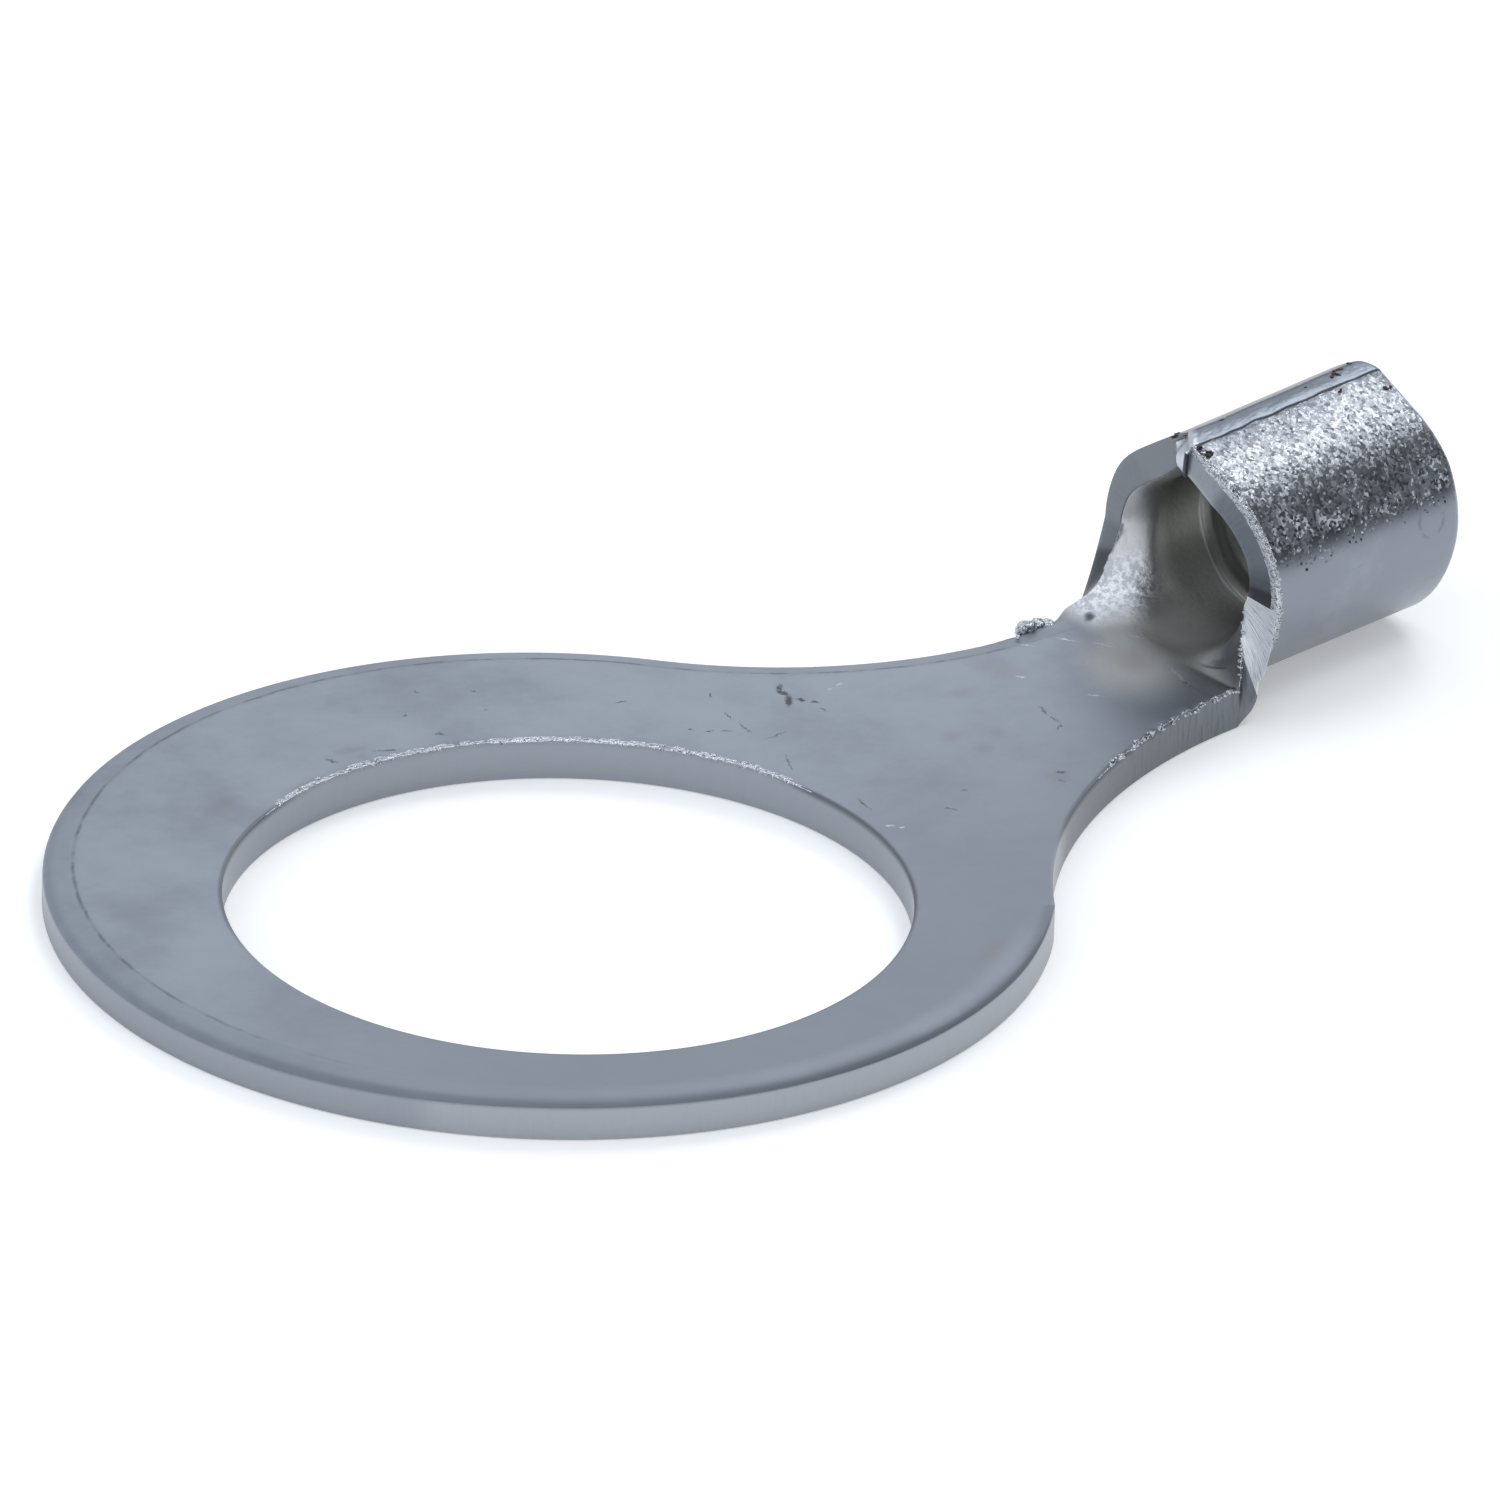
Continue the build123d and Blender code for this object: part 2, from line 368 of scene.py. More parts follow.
class Sheet:
    """Sizes in millimetres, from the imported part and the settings, and the laws that bend the blank."""

    def __init__(self, settings):
        for name in SheetSettings.__annotations__:
            setattr(self, name, getattr(settings, name) / MM)
        mounts = {m["name"]: m for m in frame["record"]["mounts"]}
        low, high = (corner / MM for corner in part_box(NODE))
        stud, wire = mounts["stud_hole"], mounts["wire_barrel"]
        self.t = stud["dims"]["length_mm"]
        self.hole_r = stud["dims"]["r_mm"]
        self.barrel_r = wire["dims"]["r_mm"] + self.t
        self.barrel_len = wire["dims"]["length_mm"]
        self.rear_x, self.strip_y, _ = (value / MM for value in wire["pos_m"])
        self.mouth_x = self.rear_x - self.barrel_len
        self.disc_r = (high.y - low.y) / 2
        self.disc_centre = Vector((low.x + self.disc_r, (low.y + high.y) / 2))
        self.seam_edge = pi * self.barrel_r - self.seam_width / 2
        self.left = HollowSide(self, 1, 0)
        self.right = HollowSide(self, -1, self.right_overcut)

    def flat(self, place):
        """Place in the blank of a place from the hole's centre."""
        return Vector((place.x, place.y - self.strip_y, 0))

    def groove(self, along):
        """Depth of the groove pressed across the inside of the barrel."""
        into = along - self.mouth_x - self.groove_inset
        width = self.groove_width
        return self.groove_depth * min(ramp(into, 0, 0.1), ramp(into, width, width - 0.25))

    def roundness(self, x, away):
        """Share of the barrel's bend that one side of the sheet has at x."""
        start, haste = (self.left_throat, LEFT_HASTE) if away > 0 else (self.right_throat, RIGHT_HASTE)
        return smooth(ramp(x, start, self.mouth_x) ** haste)

    def reach(self, side, x):
        """Distance from the centre line to the blank's edge at x, measured on the sheet's outside."""
        share = self.roundness(x, side.away)
        if share == 0:
            return side.half_width(x)
        half = min(side.half_width(x) + share * (self.barrel_r - self.neck_width / 2), self.barrel_r)
        return asin(half * share / self.barrel_r) * self.barrel_r / share

    def slipped(self, along, across):
        """Place along the strip after the barrel's right side slipped forward."""
        right = 0.4 * ramp(-across, 1.5, 4.5) + 0.6 * ramp(-across, 4.5, 7.5)
        left = 0.35 * ramp(across, 6.5, 8.9) - 0.1 * ramp(across, 2, 5)
        rear = 0.33 * ramp(across, 6.5, 8) - 0.6 * ramp(-across, 3, 6)
        shift = (right + left) * ramp(along, self.right_throat, self.mouth_x)
        return along - self.slip * (shift + rear * ramp(along, 21, self.rear_x))

    def peak(self, turn, radius):
        """Radius of the barrel's section at this turn from its lowest line, its low peak rounded off."""
        return sum(self.sharp_peak(turn + radians(lean), radius) for lean in (-3, -1.5, 0, 1.5, 3)) / 5

    def sharp_peak(self, turn, radius):
        """The same before rounding: straight flanks that run up to a flat crest as wide as the seam."""
        from_top = abs(pi - abs(turn))
        if 0 < turn < pi:
            radius -= self.shoulder * sin(pi * ramp(from_top, radians(6), radians(64))) ** 2
        peak = Vector((self.seam_width / 2, radius + self.seam_rise))
        corner = atan2(peak.x, peak.y)
        lean = corner + acos(radius / peak.length)
        if from_top > lean:
            return radius
        if from_top > corner:
            return radius / cos(lean - from_top)
        return (radius + self.seam_rise) / cos(from_top)

    def tilted(self, along, height):
        """Height of a place after the barrel was left tilted up towards its rear."""
        slope = TILT_LOW + TILT_MORE * height / (2 * self.barrel_r)
        return height + slope * max(along - TILT_FROM, 0)

    def formed(self, point):
        """Place on the bent sheet of a point of the flat blank."""
        along, across, depth = point
        share = self.roundness(along, across)
        along_bent = self.slipped(along, across)
        if share < 1e-6:
            return Vector((along_bent, self.strip_y + across, depth))
        outer_r = self.barrel_r / share
        turn = across / outer_r
        radius = outer_r - depth
        if along >= self.mouth_x - 1e-6:
            radius = self.peak(turn, radius)
        height = self.tilted(along, outer_r - radius * cos(turn))
        return Vector((along_bent, self.strip_y + radius * sin(turn), height))

    def inwards(self, x, y):
        """Distance from the punch's edge, and share of its band, at a place y from the hole's centre."""
        from_disc = Vector((x, y)) - self.disc_centre
        turn = atan2(from_disc.y, from_disc.x) % tau
        right_turn = self.right.turn % tau
        if self.left.turn <= turn <= right_turn:
            inwards = self.disc_r - from_disc.length
            worn_off = 1 - 0.65 * ramp(turn, radians(195), radians(225))
            fade = min((right_turn - turn) / radians(14), 1) * worn_off
        elif y > self.strip_y:
            inwards = (Vector((x, y)) - self.left.centre).length - self.left.radius
            fade = ramp(x, self.left_throat + 0.3, self.left_throat - 1.2)
        else:
            return 9, 0
        return inwards if fade > 0 else 9, fade

    def drop(self, x, y):
        """How far the punch's band lies below the top at a place of the flat blank."""
        inwards, fade = self.inwards(x, y)
        share = 1 - ramp(inwards, 0, self.roll_width)
        return fade * self.roll_depth * share + min(fade * 3, 1) * rounding(inwards, self.outer_round)


def ramp(value, low, high):
    """Share of the way from low to high, held at 0 and 1."""
    return min(max((value - low) / (high - low), 0), 1)


def smooth(share):
    """A share that starts and ends softly."""
    return share**2 * (3 - 2 * share)


def rounding(gap, radius):
    """Depth of a rounded edge below its corner, at this distance inwards from it."""
    return radius - sqrt(max(radius**2 - max(radius - max(gap, 0), 0) ** 2, 0))


def steps(start, end, step):
    """Values from start to end, both included, evenly spaced by about step."""
    count = max(1, ceil(abs(end - start) / step))
    return [start + (end - start) * i / count for i in range(count + 1)]


def spread(low, high, borders, count):
    """Values from low to high: at the given distances from both ends, and count even ones between."""
    inner_low, inner_high = low + borders[-1], high - borders[-1]
    middle = [inner_low + (inner_high - inner_low) * i / (count + 1) for i in range(1, count + 1)]
    return [low + b for b in borders] + middle + [high - b for b in reversed(borders)]


def extend(bm, chain, column, place):
    """Extrudes a chain of edges, puts each new vertex where place(column) says; returns the new chain."""
    made = bmesh.ops.extrude_edge_only(bm, edges=chain)["geom"]
    verts = {g for g in made if isinstance(g, bmesh.types.BMVert)}
    for vert in verts:
        vert.co = place(vert[column])
    return [g for g in made if isinstance(g, bmesh.types.BMEdge) and set(g.verts) <= verts]


def sheet_mesh(sheet):
    """The flat blank as a thin skin, in millimetres along, across and through."""
    bm = bmesh.new()
    column = bm.verts.layers.int.new("column")
    outline = ring_outline(sheet)
    hole = bmesh.ops.create_circle(bm, segments=len(outline), radius=sheet.hole_r)["verts"]
    for number, vert in enumerate(hole):
        vert[column] = number
        vert.co = sheet.flat(outline[number].normalized() * sheet.hole_r)
    chain = list(bm.edges)
    for layer in range(1, len(spread(0, 1, RING_BORDERS, RING_LAYERS))):
        chain = extend(bm, chain, column, lambda number: ring_place(sheet, outline[number], layer))

    lanes = len(spread(0, 1, EDGE_BORDERS, NECK_LANES))
    chain = [e for e in chain if max(v[column] for v in e.verts) < lanes and not e.calc_length() > 1]
    throat_x = sheet.left_throat
    for x in steps(CROSS_X, throat_x, 0.1)[1:] + steps(throat_x, sheet.mouth_x, 0.045)[1:]:
        chain = extend(bm, chain, column, lambda number: Vector((x, neck_lane(sheet, x, number), 0)))

    quarter = sheet.reach(sheet.left, sheet.mouth_x)
    wing_lanes = steps(quarter, sheet.seam_edge - 0.3, 0.14)[1:]
    wing_lanes += [sheet.seam_edge - gap for gap in SEAM_BORDERS]
    for away, end_lane in ((1, lanes - 1), (-1, 0)):
        tip = next(v for e in chain for v in e.verts if v[column] == end_lane)
        for number, across in enumerate(wing_lanes):
            made = bmesh.ops.extrude_vert_indiv(bm, verts=[tip])
            tip = made["verts"][0]
            tip.co = Vector((sheet.mouth_x, away * across, 0))
            tip[column] = lanes + number if away > 0 else -1 - number
            chain += made["edges"]

    def barrel_lane(number):
        if number >= lanes:
            return wing_lanes[number - lanes]
        if number < 0:
            return -wing_lanes[-1 - number]
        return neck_lane(sheet, sheet.mouth_x, number)

    middle = steps(sheet.mouth_x + EDGE_BORDERS[-1], sheet.rear_x - EDGE_BORDERS[-1], 0.11)
    front = [sheet.mouth_x + border for border in EDGE_BORDERS[1:-1]]
    rear = [sheet.rear_x - border for border in reversed(EDGE_BORDERS[:-1])]
    for x in front + middle + rear:
        chain = extend(bm, chain, column, lambda number: Vector((x, barrel_lane(number), 0)))
    return bm


def ring_outline(sheet):
    """Outer edge of the ring, from the neck's cross line round to it again, from the hole's centre."""
    lanes = range(len(spread(0, 1, EDGE_BORDERS, NECK_LANES)))
    cross_line = [Vector((CROSS_X, sheet.strip_y + neck_lane(sheet, CROSS_X, lane))) for lane in lanes]
    left_arc = sheet.left.points(CROSS_X, OUTLINE_STEP)[1:]
    right_arc = sheet.right.points(CROSS_X, OUTLINE_STEP)[1:]
    turns = steps(sheet.left.turn, sheet.right.turn % tau, OUTLINE_STEP / sheet.disc_r)[1:-1]
    ring_arc = [sheet.disc_centre + Vector((cos(turn), sin(turn))) * sheet.disc_r for turn in turns]
    return cross_line + left_arc + ring_arc + right_arc[::-1]


def ring_place(sheet, end, layer):
    """Place on the line from the hole's edge to a point of the outline, in the blank."""
    distances = spread(0, end.length - sheet.hole_r, RING_BORDERS, RING_LAYERS)
    return sheet.flat(end.normalized() * (sheet.hole_r + distances[layer]))


def neck_lane(sheet, x, number):
    """Distance of a lane of the neck and the throat from the centre line, on the sheet's outside."""
    right, left = sheet.reach(sheet.right, x), sheet.reach(sheet.left, x)
    return spread(-right, left, EDGE_BORDERS, NECK_LANES)[number]


def walled(bm, grown, height, cuts):
    """Moves a grown copy of a flat skin by a height, and cuts the walls between the two into rows."""
    moved = [g for g in grown if isinstance(g, bmesh.types.BMVert)]
    bmesh.ops.translate(bm, vec=(0, 0, height), verts=moved)
    bmesh.ops.recalc_face_normals(bm, faces=bm.faces)
    uprights = [e for e in bm.edges if abs(e.verts[0].co.z - e.verts[1].co.z) > abs(height) / 2]
    bmesh.ops.subdivide_edges(bm, edges=uprights, cuts=cuts, use_grid_fill=True)


def thickened(bm, sheet):
    """Gives the flat blank its thickness and rounds the edges that the punch left."""
    walled(bm, bmesh.ops.extrude_face_region(bm, geom=list(bm.faces))["geom"], sheet.t, 4)
    bm.normal_update()
    bmesh.ops.bevel(
        bm,
        geom=[e for e in bm.edges if e.calc_face_angle(0) > radians(60)],
        offset=sheet.edge_round,
        affect="EDGES",
        segments=2,
        profile=0.5,
        material=-1,
        clamp_overlap=True,
    )
    bm.normal_update()


def finish_of(sheet, face):
    """Number of the finish that a face of the flat slab has."""
    centre, slope = face.calc_center_median(), abs(face.normal.z)
    along, across, depth = centre
    from_mouth = along - sheet.mouth_x
    if -0.05 < from_mouth < 0.17 and across < -2.9 and depth < 0.2:
        return BURRED
    if slope < 0.93:
        if slope > 0.35 and burr_height(sheet, centre) > 0:
            return BURRED
        if along < CROSS_X:
            return WALL
        return BURNISHED_AND_HIGHLIGHT if along > BURNISHED_HIGHLIGHT_FROM and from_mouth < -0.06 and across < 0 else CUT
    if depth > sheet.t / 2:
        torn = 0.7 + 0.9 * noise.noise(centre / 0.3)
        if along < CROSS_X and hole_burr(sheet, centre) * torn > 0.15:
            return BURRED
        return INSIDE if along > sheet.left_throat else MATT
    return FROSTED if from_mouth > -0.1 else MATT


def round_hole(sheet, place):
    """Turn round the stud hole, and distance from its edge, of a place of the flat slab."""
    from_axis = Vector((place[0], place[1] + sheet.strip_y))
    return atan2(from_axis.y, from_axis.x), from_axis.length - sheet.hole_r


def hole_burr(sheet, place):
    """Share of the hole's burr at a place on the top face: the edge was torn on its far side only."""
    turn, gap = round_hole(sheet, place)
    far = ramp(turn, radians(2), radians(14)) * ramp(turn, radians(108), radians(90))
    return far * ramp(gap, 0.27, 0.05)


def burr_height(sheet, place):
    """Height of the burrs at a place of the flat slab: the neck's edges, the hole and the barrel's mouth."""
    along, across, depth = place
    if along > sheet.mouth_x - 0.01:
        outside = ramp(depth, 0.45, 0.1) * ramp(along, sheet.mouth_x + 0.22, sheet.mouth_x)
        return MOUTH_BURR * outside * ramp(across, -1, -3)
    upper = ramp(depth, 0.6 * sheet.t, sheet.t)
    if along > CROSS_X:
        near = ramp(sheet.reach(sheet.right, along) + across, 0.24, 0)
        far = ramp(sheet.reach(sheet.left, along) - across, 0.24, 0)
        right_height = RIGHT_BURR * near * ramp(along, 12.8, 15.5)
        left_height = LEFT_BURR * far * ramp(along, 14.5, 16.5)
        return upper * (right_height + left_height)
    return HOLE_BURR * upper * hole_burr(sheet, place)


def ragged(place):
    """Unevenness of a burr, from 0 to about 1."""
    fine = noise.noise(Vector((place[0] / 0.13, place[1] / 0.13, 3.1)))
    coarse = noise.noise(Vector((place[0] / 0.45, place[1] / 0.45, 7.7)))
    return max(0.0, 0.45 + 0.8 * fine + 0.5 * coarse)


def bent(bm, sheet):
    """Draws down the punched edges, raises the burrs, then bends the flat slab into the terminal."""
    blank = bm.verts.layers.float_vector.new("blank")
    band = bm.verts.layers.float.new("band")
    dirt = bm.verts.layers.float.new("dirt")
    for vert in bm.verts:
        along, across, depth = vert.co
        vert[blank] = vert.co
        vert[band] = sheet.inwards(along, across + sheet.strip_y)[0]
        vert[dirt] = dark_edge_share(sheet, along, across, depth)
        lift = burr_height(sheet, vert.co) * ragged(vert.co)
        inner = ramp(depth, sheet.t / 2, sheet.t)
        depth *= 1 - sheet.drop(along, across + sheet.strip_y) / sheet.t
        depth -= inner * left_flare(along - sheet.mouth_x, across)
        if along > sheet.mouth_x - 0.01:
            front = 1 - ramp(along - sheet.mouth_x, 0, 0.5)
            rear = 1 - ramp(sheet.rear_x - along, 0, 0.5)
            wing = ramp(abs(across), 4.3, 5.4)
            depth -= inner * (sheet.groove(along) + sheet.mouth_roll * (wing * front**2 + rear**2))
            depth += (1 - inner) * rounding(sheet.rear_x - along, sheet.rear_round)
            depth += (1 - inner) * seam_groove(sheet, across) - lift
        else:
            depth += lift - (1 - inner) * ear(sheet, along, across) - inner * crease(along, across)
        vert.co = sheet.formed((along, across, depth))


def dark_edge_share(sheet, along, across, depth):
    """Share of the dark line painted along the edges without a burr: the hole's, and the neck's on its
    right, where it is painted shade.
    """
    turn, gap = round_hole(sheet, (along, across))
    right = ramp(turn, radians(-65), radians(-40)) * ramp(turn, radians(12), radians(2))
    left = ramp(turn, radians(92), radians(108)) * ramp(turn, radians(170), radians(145))
    hole = ramp(gap, 0.13, 0.02) * max(right, left)
    neck = 0.0
    if along > 9.5:
        neck = ramp(sheet.reach(sheet.right, along) + across, 0.16, 0.02)
        neck *= ramp(along, 9.5, 11) * ramp(along, 17, 15)
    return max(hole, neck) * ramp(depth, 0.88 * sheet.t, 0.98 * sheet.t)


def ear(sheet, along, across):
    """How far the sheet bulges outwards where its right side is folded up, above and below a notch."""
    if along < sheet.left_throat:
        return 0
    near = 1 - ramp(sheet.reach(sheet.right, along) + across, 0.1, 0.9)
    below = EAR_BELOW * ramp(along, 18.3, 18.55) * ramp(along, 18.74, 18.66)
    above = EAR_ABOVE * ramp(along, 18.74, 18.85) * ramp(along, 19.25, 19.0)
    return near * (below + above)


def crease(along, across):
    """Depth of the sharp fold inside, where the floor of the throat meets its right side."""
    way = ramp(-across, 1.4, 2.6)
    line, width = 18.45 + 0.18 * way, 0.05 + 0.07 * way
    return CREASE_DEPTH * ramp(-across, 1.3, 2.0) * max(0, 1 - abs(along - line) / width)


def left_flare(behind_mouth, across):
    """How much thinner the wall was stretched inside, round the barrel's mouth on its left side."""
    side = ramp(across, 1.6, 3.4) * ramp(across, 6.2, 4.6)
    end = 0.6 + 0.25 * ramp(across, 3.2, 4.4)
    near = min(ramp(behind_mouth, -1.4, -0.3), ramp(behind_mouth, end, -0.3))
    return FLARE_DEPTH * side * smooth(near)


def seam_groove(sheet, across):
    """Depth of the fine groove between the solder and the frosted tin, on the seam's right side only."""
    off = abs(sheet.seam_edge + across - SEAM_GROOVE_IN)
    return SEAM_GROOVE_DEPTH * max(0, 1 - off / SEAM_GROOVE_HALF)


def solder_mesh(sheet):
    """The solder that fills the seam and lies over its edges as a smooth film, with a nose in front."""
    bm = bmesh.new()
    bmesh.ops.create_grid(bm, x_segments=110, y_segments=24, size=0.5)
    walled(bm, bmesh.ops.extrude_face_region(bm, geom=list(bm.faces))["geom"], -1, 6)
    half = sheet.seam_width / 2
    far_side = bm.verts.layers.float.new("far_side")
    front = bm.verts.layers.float.new("front")
    for vert in bm.verts:
        level = -vert.co.z
        gap = (vert.co.x + 0.5) * (sheet.barrel_len - 0.03)
        along = sheet.mouth_x + gap
        near_reach = sheet.solder_near + 0.045 * noise.noise(Vector((along / 0.5, 0.0, 2.0)))
        side = -sheet.solder_far + (0.5 - vert.co.y) * (sheet.solder_far + near_reach)
        # Shares of the painted shade on the far hem and of the painted highlight on the nose
        vert[far_side] = 1 - ramp(side + sheet.solder_far, 0, 0.2)
        vert[front] = ramp(gap, 0.3, 0.05) * ramp(level, 1.0, 0.6)

        coarse_dents = noise.noise(Vector((along / 0.7, side / 0.3, 5.0)))
        fine_dents = noise.noise(Vector((along / 0.12, side / 0.08, 9.0)))
        hem = max(rounding(side + sheet.solder_far, 0.045), rounding(near_reach - side, 0.032))
        ends = rounding(gap, 0.14) + rounding(sheet.rear_x - along, sheet.rear_round)
        outer = -0.02 + 0.016 * coarse_dents + 0.008 * fine_dents + hem + ends
        bottom = sheet.t - 0.02 if abs(side) < half else 0.12
        depth = outer + (bottom - outer) * level

        bulge = (1 - (2 * level - 1) ** 2) ** 0.6 * ramp(gap, 0.5, 0)
        nose = (0.14 + 0.2 * ramp(side, 0.1, -0.15)) * bulge
        left_x = sheet.slipped(along, pi * sheet.barrel_r)
        right_x = sheet.slipped(along, -pi * sheet.barrel_r)
        along_bent = left_x + (right_x - left_x) * ramp(side, -half, half) - nose
        turn = side / sheet.barrel_r - pi
        radius = sheet.peak(turn, sheet.barrel_r - depth)
        height = sheet.tilted(along, sheet.barrel_r - radius * cos(turn))
        vert.co = Vector((along_bent, sheet.strip_y + radius * sin(turn), height))
    return bm


def blob(bm, place, size, flatness, random, faces=1):
    """A small lump of that size round a place, turned and dented at random."""
    made = bmesh.ops.create_icosphere(bm, subdivisions=faces, radius=1.0)["verts"]
    turn = Matrix.Rotation(random.uniform(0, tau), 3, "Z")
    turn @= Matrix.Rotation(random.uniform(-0.5, 0.5), 3, "X")
    shape = Vector((random.uniform(0.7, 1.3), random.uniform(0.7, 1.3), flatness)) * size
    seed = Vector((random.uniform(0, 50), 0, 0))
    for vert in made:
        dent = 1 + 0.45 * noise.noise(vert.co * 1.3 + seed)
        vert.co = place + turn @ Vector(a * b for a, b in zip(vert.co * dent, shape))


def burr_mesh(sheet):
    """Crumbs of metal that hang on the torn edges."""
    bm = bmesh.new()
    random = Random(11)

    def crumbs(count, spot, low, high, faces=1):
        for _ in range(count):
            place = sheet.formed(spot(random.random()))
            size = random.uniform(low, high)
            blob(bm, place, size, random.uniform(0.5, 1), random, faces)

    def near_edge(share):
        x = 13.4 + share * (sheet.mouth_x - 13.5)
        across = -sheet.reach(sheet.right, x) + random.uniform(-0.02, 0.08)
        return x, across, sheet.t + random.uniform(-0.03, 0.05)

    def far_lump(share):
        x = 16.65 + 0.8 * share
        bulge = 0.25 * (1 - (2 * share - 1) ** 2)
        across = sheet.reach(sheet.left, x) + bulge * random.uniform(-0.2, 0.8)
        return x, across, sheet.t - 0.08 + bulge * random.uniform(-0.2, 0.6)

    def hole_edge(share):
        turn = radians(5 + 100 * share)
        radius = sheet.hole_r + random.uniform(-0.01, 0.09)
        depth = sheet.t + random.uniform(-0.02, 0.01)
        return radius * cos(turn), radius * sin(turn) - sheet.strip_y, depth

    def mouth_edge(share):
        along = sheet.mouth_x + random.uniform(-0.02, 0.16)
        return along, -3.4 - 5.1 * share, random.uniform(-0.03, 0.05)

    def seam_crest(share):
        across = sheet.seam_edge + random.uniform(-0.02, 0.03)
        return sheet.mouth_x + 0.6 + 3.6 * share, across, random.uniform(-0.02, 0.0)

    crumbs(130, near_edge, 0.03, 0.07)
    crumbs(22, far_lump, 0.1, 0.17, 2)
    crumbs(260, hole_edge, 0.015, 0.04)
    crumbs(300, mouth_edge, 0.02, 0.05)
    crumbs(60, seam_crest, 0.008, 0.02)
    blob(bm, sheet.formed((16.33, 2.45, sheet.t + 0.02)), 0.07, 0.6, random, 2)
    return bm


def flux_mesh(sheet):
    """Specks of burnt flux beside the seam."""
    bm = bmesh.new()
    random = Random(5)
    for along, across, half_length, half_width in FLUX_SPOTS:
        for _ in range(7):
            spot_x = along + random.uniform(-0.8, 0.8) * half_length
            spot_y = across + random.uniform(-0.8, 0.8) * half_width
            depth = rounding(sheet.rear_x - spot_x, sheet.rear_round) - (0.02 if abs(spot_y) > 8.65 else 0)
            place = sheet.formed((min(spot_x, sheet.rear_x - 0.06), spot_y, depth))
            blob(bm, place, half_width * random.uniform(0.55, 0.9), 0.5, random, 2)
    return bm


def piece_from(bm, name, materials):
    """Scales a mesh to metres and makes it a smooth piece that rides on the part's body."""
    bmesh.ops.scale(bm, vec=(MM, MM, MM), verts=bm.verts)
    mesh = bpy.data.meshes.new(name)
    bm.to_mesh(mesh)
    bm.free()
    mesh.shade_smooth()
    for material in materials:
        mesh.materials.append(material)
    piece = bpy.data.objects.new(name, mesh)
    bpy.context.scene.collection.objects.link(piece)
    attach(piece, BODY)
    return piece


# Settings that each node of a kind has here, unless its call says otherwise
USUAL = {
    "Attribute": {"attribute_type": "GEOMETRY"},
    "MapRange": {"interpolation_type": "SMOOTHSTEP"},
    "Mapping": {"vector_type": "TEXTURE"},
    "Math": {"operation": "MULTIPLY"},
    "Mix": {"data_type": "RGBA"},
}


def add_node(tree, kind, inputs=(), out=0, **settings):
    """Adds a node, sets it up, fills its inputs with values or links, and returns one of its outputs."""
    made = tree.nodes.new("ShaderNode" + kind)
    for key, value in (USUAL.get(kind, {}) | settings).items():
        setattr(made, key, value)
    for key, value in inputs.items() if isinstance(inputs, dict) else enumerate(inputs):
        if isinstance(value, bpy.types.NodeSocket):
            tree.links.new(value, made.inputs[key])
        else:
            made.inputs[key].default_value = value
    return made.outputs[out] if made.outputs else None


def tone(name):
    """One of the finishes' colours, with its alpha."""
    return [*getattr(bpy.context.scene.terminal_finish, name), 1.0]


